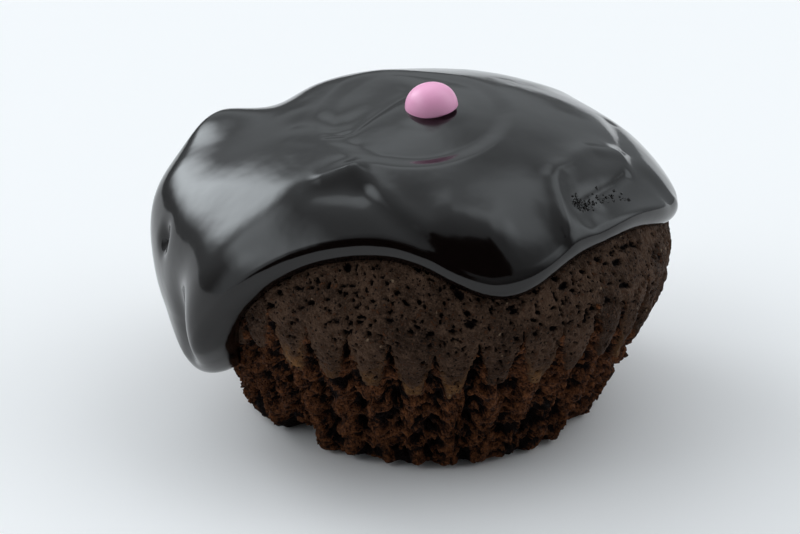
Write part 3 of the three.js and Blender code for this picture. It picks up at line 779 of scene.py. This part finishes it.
def icing_points(direction, step, last):
    """Points of the icing's outer face. Near the edge each lobe swells, and the lip is a quarter
    ellipse that curls in to the sponge."""
    to_edge = np.maximum(length_at(last) - length_at(step), 0)
    thickness = coat_thickness(direction, step)
    for at, width, drop, power, swell in LOBES:
        near = hump(to_edge, SWELL_SHARE * drop + SWELL_REACH)
        thickness = thickness + swell * near * hump(turn(at, direction), width, power)
    in_lip = 1 - np.minimum(to_edge / thickness, 1)
    thickness = LIP_TUCK + (thickness - LIP_TUCK) * np.sqrt(np.clip(1 - in_lip ** 2, 0, 1))
    return over_cake(direction, step, thickness)


samples = np.linspace(-180, 180, EDGE_SAMPLES + 1)
edge_line = over_cake(samples, edge_step(samples), np.zeros(EDGE_SAMPLES + 1))
edge_lengths = np.concatenate([[0], np.cumsum(np.linalg.norm(np.diff(edge_line, axis=0), axis=1))])
evenly = edge_lengths[-1] * np.arange(ICING_COLUMNS) / ICING_COLUMNS
icing_directions = np.interp(evenly, edge_lengths, samples)
last_step = edge_step(icing_directions)
outer_shares = 1 - (1 - np.linspace(ICING_TOP_ROW, 1, ICING_ROWS)) ** ROW_CROWDING
outer_steps = step_at(outer_shares[:, None] * length_at(last_step)[None, :])
outer_steps[-1] = last_step
outer = icing_points(icing_directions[None, :], outer_steps, last_step[None, :])
lining_shares = np.linspace(1, 0, LINING_ROWS, endpoint=False)[1:]
lining_steps = step_at(lining_shares[:, None] * length_at(last_step)[None, :])
lining = over_cake(icing_directions[None, :], lining_steps, np.full(lining_steps.shape, LINING_GAP))
icing_mesh = ring_mesh("poured_icing", np.concatenate([outer, lining]))

# Dark chocolate icing: almost black under a smooth wet gloss, which mirrors the pale surround as
# grey. It set with faint ripples.
set_chocolate, tree = new_material("dark_chocolate_icing")
place = add_node(tree, "TexCoord").outputs["Object"]
ripples = add_node(tree, "TexNoise", {"Vector": place, "Scale": 1 / RIPPLE_SIZE})
rippled = {"Height": ripples, "Distance": RIPPLE_HEIGHT, "Strength": RIPPLE_STRENGTH}
shader = add_node(tree, "BsdfPrincipled", {
    "Base Color": linear(ICING_COLOUR),
    "Roughness": ICING_ROUGHNESS,
    "IOR": ICING_IOR,
    "Normal": add_node(tree, "Bump", rippled),
})
add_node(tree, "OutputMaterial", [shader])
add_piece("poured_icing", icing_mesh, set_chocolate, "icing")

# Sweet: a pink sugar drop, moulded and glazed. It was pressed into the icing before it set, and stands
# a little askew in the shallow socket that it made.
SWEET = (0.1, -3.4)  # x, y
SWEET_RADIUS = 3.55
SWEET_RISE = 3.3
SWEET_POWER = 0.92  # below 1 the dome is squarer than an ellipse
SWEET_KEEL = 0.5
SWEET_FOOT = 2.6
SWEET_SUNK = 0.55
SWEET_TILT = 9.0  # its right side stands higher
SWEET_COLUMNS = 96
SWEET_ROWS = 40
SWEET_TOP_ROW = 0.02
SWEET_COLOUR = "#FAADD2"
SWEET_ROUGHNESS = 0.35


def sweet_points(direction, step):
    """A dome of a quarter superellipse from the top (0) to the widest line (1), then a keel that
    narrows to the foot (2)."""
    angle = np.minimum(step, 1) * math.pi / 2
    below = np.clip(step - 1, 0, 1)
    radius = SWEET_RADIUS * np.sin(angle) ** SWEET_POWER
    radius = radius - (SWEET_RADIUS - SWEET_FOOT) * below ** 2
    height = SWEET_RISE * np.cos(angle) ** SWEET_POWER - SWEET_KEEL * below
    return polar(direction, radius, height)


sweet_directions = 360 * np.arange(SWEET_COLUMNS) / SWEET_COLUMNS
sweet_steps = np.linspace(SWEET_TOP_ROW, 2, SWEET_ROWS)
sweet_rings = sweet_points(sweet_directions[None, :], sweet_steps[:, None])
sweet_rings = sweet_rings @ np.array(Matrix.Rotation(math.radians(-SWEET_TILT), 3, "Y")).T
seat_direction = math.degrees(math.atan2(SWEET[1], SWEET[0]))
seat_step = math.asin(math.hypot(*SWEET) / WIDEST_RADIUS) / (math.pi / 2)
icing_height = outline(seat_step)[1] + coat_thickness(seat_direction, seat_step)
sweet_rings = sweet_rings + (*SWEET, icing_height - SWEET_SUNK + SWEET_KEEL)
sweet_mesh = ring_mesh("sugar_drop", sweet_rings)

# Sugar drop: opaque pink sugar with a satin shell.
pink_sugar, tree = new_material("pink_sugar_shell")
sugar = {"Base Color": linear(SWEET_COLOUR), "Roughness": SWEET_ROUGHNESS}
add_node(tree, "OutputMaterial", [add_node(tree, "BsdfPrincipled", sugar)])
add_piece("sugar_drop", sweet_mesh, pink_sugar, "sweet")

# Crumbs: bits of the sponge's own crumb that broke off when the case was peeled away. They are small
# uneven lumps, and the moist cake holds them all over its torn side.
CRUMBS = 900
CRUMB_RADII = (0.16, 0.5)
CRUMB_SMALLNESS = 3  # above 1 most are small
CRUMB_ROWS = 4
CRUMB_COLUMNS = 7
CRUMB_UNEVENNESS = 0.35
CRUMB_STRETCH = (0.6, 1.3)
TORN_ENOUGH = 0.8  # they hang where the share of torn crumb is over this
PIT_TOO_DEEP = 0.5  # and that of painted pit shade is under this
CRUMB_SEED = 2461
random_numbers = np.random.default_rng(CRUMB_SEED)


def lumps(centres, radii):
    """Rings of points of uneven balls, one for each centre: latitude and longitude give a unit ball,
    each of its points is moved in or out at random, and its three axes are stretched at random."""
    latitude = np.linspace(-1, 1, CRUMB_ROWS + 2)[1:-1, None] * math.pi / 2
    longitude = np.arange(CRUMB_COLUMNS)[None, :] / CRUMB_COLUMNS * 2 * math.pi
    across = np.cos(latitude)
    parts = np.broadcast_arrays(across * np.cos(longitude), across * np.sin(longitude), np.sin(latitude))
    ball = np.stack(parts, axis=-1)
    uneven = random_numbers.uniform(-1, 1, (len(centres),) + ball.shape[:2])
    uneven = 1 + CRUMB_UNEVENNESS * uneven
    stretched = ball[None] * random_numbers.uniform(*CRUMB_STRETCH, (len(centres), 1, 1, 3))
    return centres[:, None, None] + stretched * (uneven * radii[:, None, None])[..., None]


def lumps_mesh(name, rings):
    """One mesh of many closed balls: quads join neighbouring rings and a polygon closes each end."""
    count, rows, columns = rings.shape[:3]
    index = np.arange(count * rows * columns).reshape(count, rows, columns)
    after = np.roll(index, -1, axis=2)
    quads = np.stack([index[:, :-1], after[:, :-1], after[:, 1:], index[:, 1:]], axis=-1).reshape(-1, 4)
    mesh = bpy.data.meshes.new(name)
    ends = index[:, 0, ::-1].tolist() + index[:, -1].tolist()
    mesh.from_pydata(rings.reshape(-1, 3) * MM, [], quads.tolist() + ends)
    mesh.update()
    return mesh


holds_crumbs = (torn_share > TORN_ENOUGH) & (pit_share < PIT_TOO_DEEP) & (sponge_steps < FOOT_STEP)
torn_rows, torn_columns = np.nonzero(holds_crumbs)
picked = random_numbers.integers(0, len(torn_rows), CRUMBS)
on_side = sponge_rings[torn_rows[picked], torn_columns[picked]]
smallest, largest = CRUMB_RADII
crumb_radii = smallest + (largest - smallest) * random_numbers.random(CRUMBS) ** CRUMB_SMALLNESS
crumb_rings = lumps(on_side, crumb_radii)
crumbs_mesh = lumps_mesh("crumbs", crumb_rings)
all_torn = crumbs_mesh.attributes.new("torn", "FLOAT", "POINT")
all_torn.data.foreach_set("value", np.ones(crumb_rings.size // 3))
add_piece("crumbs", crumbs_mesh, chocolate_sponge, None)

# Icing grains: the same dark chocolate, crumbled into small grains where the icing's skin tore in the
# crease beside the hook. They stuck there as it set.
GRAINS = 170
GRAIN_RADII = (0.1, 0.28)
CREASE = [(17.5, -18.8), (18.3, -18.6), (19.4, -17.6), (20.6, -16), (22.4, -14.6), (24.5, -13)]
CREASE_SPREAD = 0.4
CREASE_CROWDING = 1.5  # above 1 they crowd towards the crease's first end

line_x, line_y = np.array(CREASE).T
spots = random_numbers.random(GRAINS) ** CREASE_CROWDING * (len(CREASE) - 1)
grain_x = np.interp(spots, np.arange(len(CREASE)), line_x)
grain_x = grain_x + random_numbers.normal(0, CREASE_SPREAD, GRAINS)
grain_y = np.interp(spots, np.arange(len(CREASE)), line_y)
grain_y = grain_y + random_numbers.normal(0, CREASE_SPREAD, GRAINS)
grain_directions = np.degrees(np.arctan2(grain_y, grain_x))
grain_steps = np.arcsin(np.hypot(grain_x, grain_y) / WIDEST_RADIUS) / (math.pi / 2)
in_crease = over_cake(grain_directions, grain_steps, coat_thickness(grain_directions, grain_steps))
grain_radii = random_numbers.uniform(*GRAIN_RADII, GRAINS)
grains_mesh = lumps_mesh("icing_grains", lumps(in_crease, grain_radii))
add_piece("icing_grains", grains_mesh, set_chocolate, None)
